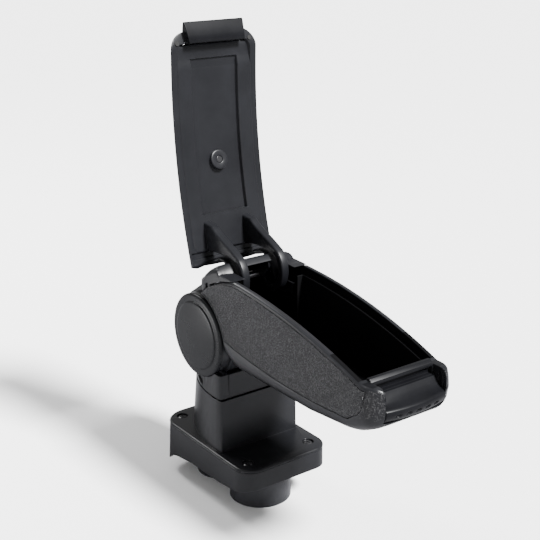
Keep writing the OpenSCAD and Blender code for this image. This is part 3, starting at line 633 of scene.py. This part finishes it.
# %% [markdown]
# The inner plate lies in the cover with a thin bright edge. It has a long
# recess and dishes gently towards the latch. Cutting these out would leave
# hard steps to be rounded afterwards. Here each section is a row of points
# whose heights follow the dish and the recess, so the roundings are there
# from the start.
# %% Inner plate
PLATE_STEPS = ([8, 8.4, 9, 10, 12, 14, 16, 20, 26, 32, 38] + [44.6 + 0.3 * i for i in range(6)]
               + [50 + 6 * i for i in range(23)] + [185 + 3 * i for i in range(5)]
               + [197.3 + 0.4 * i for i in range(5)] + [201 + 1.0 * i for i in range(12)]
               + [212.4, 212.7])
RECESS_DEPTH, DISH_DEPTH = 4, 3.5  # mm


def recess_share(x, y):
    along = min(smooth((x - 44.9) / 1.3), smooth((198.9 - x) / 1.3))
    across = smooth((28.0 - abs(y)) / 1.5)
    return min(along, across)


def plate_ring(x, lift):
    w, z = plate_half_width(x), under(x)
    dish = DISH_DEPTH * smooth((x - 186) / 19)
    rim = [(w, 4.5), (w, 1.0 + dish), (w - 0.1, 0.5 + dish), (w - 0.35, 0.2 + dish),
           (w - 0.9, 0.03 + dish)]
    field = [w - 1.6] + [28 + (w - 30) * k / 4 for k in (3, 2, 1)]
    field += [28.05, 27.8, 27.5, 27.2, 26.9, 26.6, 26.4, 20, 13, 6, 0]
    half = [(y, z + h + lift) for y, h in rim]
    half += [(y, z + dish + lift + RECESS_DEPTH * recess_share(x, y)) for y in field]
    left = [(-y, zz) for y, zz in reversed(half) if y > 1e-6]
    return [(x, y, zz) for y, zz in half + left]


plate_steps = sorted(set(PLATE_STEPS))
last = len(plate_steps) - 1
end_lift = {0: 1.2, 1: 0.35, last - 1: 0.1, last: 0.4}
plate_rings = [plate_ring(x, end_lift.get(i, 0.0)) for i, x in enumerate(plate_steps)]
plate = mesh_of("plate", *skin(plate_rings, opened))
print("plate", len(plate.polygons), "faces")

# %% [markdown]
# Two gooseneck arms are moulded on the plate. Each loops down into a well in
# the box and comes up again at the hinge pin, so that the lid can swing past
# upright without striking the hood. An arm is a flat outline made thick, with
# its edges well rounded. The boss for the screw is a turned ring.
# %% Hinge arms and boss
ARM_CENTRE = (-18.1, 227.5)
ARM_INNER, ARM_OUTER = 19.5, 28.5  # mm from the middle
SCREW_X = 98.4
BOSS = [(10.6, 4.6), (10.2, 4.0), (10, 3.4), (10, 0.8), (9.8, 0.35), (9.3, 0.05),
        (8.6, -0.05), (4.4, -0.05), (3.9, 0.1), (3.55, 0.5), (3.5, 2.4), (0.3, 2.4)]


def on_arc(centre, radius, degrees):
    a = math.radians(degrees)
    return (centre[0] + radius * math.cos(a), centre[1] + radius * math.sin(a))


def prism(name, outline, y0, y1, pose=None):
    return mesh_of(name, *skin([[(x, y, z) for x, z in outline] for y in (y0, y1)], pose))


# Down the inner side of the loop, round the pin, and back along the outer side
arm_line = [(7.2, under(7.2) + 3), (7.2, under(7.2) - 1), (6.2, 246), (4.6, 240)]
arm_line += [on_arc(ARM_CENTRE, 19, -1 - 7 * k) for k in range(25)]
arm_line += [(-36.9, 230.5), (-35.2, 233.0), (-32.5, 234.6), (-30.2, 235.6)]
arm_line += [on_arc((HINGE.x, HINGE.z), 6, a)
             for a in (-120, -90, -60, -30, 0, 30, 60, 90, 115)]
arm_line += [(-31.5, 244.6), (-36, 242), (-40, 238.4), (-43, 234.2), (-44.7, 230.5)]
arm_line += [on_arc(ARM_CENTRE, 27, 180 + 6.5 * k) for k in range(20)]
arm_line += [(4, 212.3), (10, 219), (16, 226.3), (22, 233), (28, 238.8), (33, 242.6),
             (37.4, under(37.4) - 0.8), (38.6, under(38.6) + 0.3), (38.6, under(38.6) + 3)]
arms = []
for side in (-1, 1):
    y0, y1 = sorted((side * ARM_INNER, side * ARM_OUTER))
    arms.append(bevelled(new_object("arm", prism("arm", arm_line, y0, y1, opened)),
        0.0024, 50, segments=4))

boss_rings = [[(SCREW_X + a, b, under(SCREW_X) + h) for a, b in circle(r, 48)] for r, h in BOSS]
boss = mesh_of("boss", *skin(boss_rings, opened))
plate = joined("lid_inner_plate", [plate] + arms + [boss])
place_piece("lid_inner_plate", plate, lid_satin)
print("plate, arms and boss", len(plate.polygons), "faces")

# %% [markdown]
# The lip under the latch is curved in plan and dished from its ledge down to
# its nose. Five oval dimples for the fingertips are pressed into its lower
# face. A bump texture could fake them, but it would show nothing at the
# outline. So the grid is fine enough for each dimple to be real.
# %% Front lip
# The section in x and z, from below round the nose to the ledge
LIP_KNOTS = [(216, 184.9), (221, 184.9), (227, 184.9), (230.6, 186.2), (232.8, 188.9),
             (234.2, 191.8), (234.8, 194.3), (234.4, 196.5), (232.6, 198.2), (229.4, 199.5),
             (225.6, 201.3), (221.6, 204), (218.6, 206.8), (217, 208.6), (215.6, 208.9),
             (214, 208.9)]
LIP_BACK = [(214.8, 208.7), (214.8, 185)]
LIP_CURVE = 160  # mm, radius in plan
DIMPLE_Z, DIMPLE_PITCH, DIMPLE_DEPTH = 191.2, 11, 1.3


def curve_through(knots, step):
    out = []
    for i in range(1, len(knots) - 2):
        p0, p1, p2, p3 = (Vector(k) for k in knots[i - 1:i + 3])
        count = max(2, int((p2 - p1).length / step))
        for k in range(count):
            t = k / count
            out.append(0.5 * ((2 * p1) + (p2 - p0) * t + (2 * p0 - 5 * p1 + 4 * p2 - p3) * t * t
                + (3 * p1 - p0 - 3 * p2 + p3) * t ** 3))
    return out


def lip_point(p, y, normal):
    back = drop(LIP_CURVE, y) * smooth((p.x - 216) / 15)
    push = 0.0
    if 187 < p.y < 195 and p.x > 229:
        for k in range(-2, 3):
            r2 = ((y - DIMPLE_PITCH * k) / 3.7) ** 2 + ((p.y - DIMPLE_Z) / 1.9) ** 2
            push = max(push, DIMPLE_DEPTH * smooth((1.0 - r2) / 0.55))
    return (p.x - back - normal.x * push, y, p.y - normal.y * push)


lip_line = curve_through(LIP_KNOTS, 0.5)
lip_normals = []
for i in range(len(lip_line)):
    way = lip_line[min(i + 1, len(lip_line) - 1)] - lip_line[max(i - 1, 0)]
    lip_normals.append(Vector((way.y, -way.x)).normalized())
lip_rings = []
for y in [-34.9, -34.7] + [-34.4 + 0.43 * i for i in range(161)] + [34.7, 34.9]:
    tuck = 0.5 if abs(y) > 34.8 else 0.15 if abs(y) > 34.6 else 0.0
    ring = [lip_point(p - n * tuck, y, n) for p, n in zip(lip_line, lip_normals)]
    lip_rings.append(ring + [(x, y, z) for x, z in LIP_BACK])
lip = mesh_of("front_lip", *skin(lip_rings), angle=50)
place_piece("front_lip", lip, lip_satin)
print("lip", len(lip.polygons), "faces")

# %% [markdown]
# The round caps over the axle are turned shapes. A bevelled cylinder would
# come close, but its two roundings would be alike. So a profile is turned
# about the axle: the rounding at the rim is wide, the one at the step small,
# and each draws its own thin bright arc.
# %% Pivot caps
AXLE_X, AXLE_Z, CAP_SEAT = -42.5, 181, 46.5
CAP = [(0.4, 3.6), (33, 3.2), (41.5, 2), (41.5, 0), (44.5, 0), (44.5, 1.5), (44.35, 2.2),
       (43.9, 2.9), (43.2, 3.4), (42.3, 3.7), (41, 3.85), (38.5, 3.95), (36.6, 4.0),
       (36.1, 4.1), (35.8, 4.4), (35.6, 4.75), (35.1, 5.0), (34.2, 5.15), (32, 5.3),
       (27, 5.5), (20, 5.75), (12, 5.92), (5, 5.99), (0.4, 6.0)]  # radius and height

for name, side in (("pivot_cap_right", -1), ("pivot_cap_left", 1)):
    rings = [[(AXLE_X + a, side * (CAP_SEAT + h), AXLE_Z + b) for a, b in circle(r, 144)]
             for r, h in CAP]
    cap = mesh_of("pivot_cap", *skin(rings), angle=40)
    place_piece(name, cap, cap_satin)
print("cap", len(cap.polygons), "faces each")

# %% [markdown]
# The four screws in the base are all one head, a low dome with a cross
# recess. A Boolean could cut the cross, but with knife-sharp edges. Pressed
# into the dome's own grid, it gets soft ones.
# %% One screw head
HEAD_RADII = [0.25 * k for k in range(1, 19)] + [4.7, 4.85, 4.95, 5.0, 5.0]


def head_height(x, y, r):
    near, far = min(abs(x), abs(y)), max(abs(x), abs(y))
    cross = smooth((0.72 - near) / 0.3) * smooth((3.0 - far) / 0.4)
    return 2.1 * (1 - (r / 5.6) ** 2.4) - 1.3 * cross


head_rings = [[(x, y, head_height(x, y, r)) for x, y in circle(r, 96)] for r in HEAD_RADII]
head_rings[-1] = [(x, y, -0.4) for x, y, z in head_rings[-1]]
head = new_object("screw_head", mesh_of("screw_head", *skin(head_rings), angle=40))
print("head", len(head.data.polygons), "faces")

# %% [markdown]
# Copying the head by hand would turn all four the same way, and no fitter
# leaves them so. Geometry Nodes reads the four places from a small mesh, gives
# each head its own turn, and makes the result real. The inputs are named, so
# the turn or the head can be changed without opening the tree.
# %% Screws in the base plate
SCREW_Z = 60.4
LARGEST_TURN = 1.5  # radians
screw_places = [(x, s * y, SCREW_Z) for x, y in ((-97.6, 36), (32.2, 39)) for s in (-1, 1)]


def put_down_heads():
    group = bpy.data.node_groups.new("Put Down Heads", "GeometryNodeTree")
    for label, kind in (("Geometry", "Geometry"), ("Head", "Object"),
                        ("Largest Turn", "Float"), ("Finish", "Material")):
        group.interface.new_socket(label, in_out="INPUT", socket_type="NodeSocket" + kind)
    group.interface.new_socket("Geometry", in_out="OUTPUT", socket_type="NodeSocketGeometry")
    start = add(group, "NodeGroupInput")
    end = add(group, "NodeGroupOutput")
    info = add(group, "GeometryNodeObjectInfo")
    turns = add(group, "FunctionNodeRandomValue", data_type="FLOAT")
    turns.inputs["Seed"].default_value = 7
    axis = add(group, "ShaderNodeCombineXYZ")
    put = add(group, "GeometryNodeInstanceOnPoints")
    real = add(group, "GeometryNodeRealizeInstances")
    dress = add(group, "GeometryNodeSetMaterial")
    link = group.links.new
    link(start.outputs["Geometry"], put.inputs["Points"])
    link(start.outputs["Head"], info.inputs["Object"])
    link(info.outputs["Geometry"], put.inputs["Instance"])
    link(start.outputs["Largest Turn"], turns.inputs[3])
    link(turns.outputs[1], axis.inputs["Z"])
    link(axis.outputs[0], put.inputs["Rotation"])
    link(put.outputs[0], real.inputs[0])
    link(real.outputs[0], dress.inputs["Geometry"])
    link(start.outputs["Finish"], dress.inputs["Material"])
    link(dress.outputs[0], end.inputs["Geometry"])
    return group


places = new_object("screw_places", mesh_of("screw_places", screw_places, []))
heads = places.modifiers.new("heads", "NODES")
heads.node_group = put_down_heads()
sockets = {s.name: s.identifier for s in heads.node_group.interface.items_tree
           if s.in_out == "INPUT"}
heads[sockets["Head"]] = head
heads[sockets["Largest Turn"]] = LARGEST_TURN
heads[sockets["Finish"]] = screw_black
screws = settled(places, "base_screws")
bpy.data.objects.remove(head)
place_piece("base_screws", screws, screw_black)
print("screws", len(screws.polygons), "faces")

# %% [markdown]
# The neck's front panel closes the space between the two cheeks, down to the
# shadow gap above the column. It is a flat moulding with chamfered ends, so
# an outline made thick is all that it needs, with a fine bevel for the light.
# %% Neck panel
PANEL = [(-5.4, 122.1), (-2.3, 122.1), (-2.1, 122.4), (-2.1, 147.6), (-2.4, 148), (-5.4, 148)]
PANEL_HALF = 37.15

panel = prism("neck_front_cover", PANEL, -PANEL_HALF, PANEL_HALF)
panel = bevelled(new_object("neck_front_cover", panel), 0.0003, 30)
place_piece("neck_front_cover", panel, satin)
print("neck panel", len(panel.polygons), "faces")
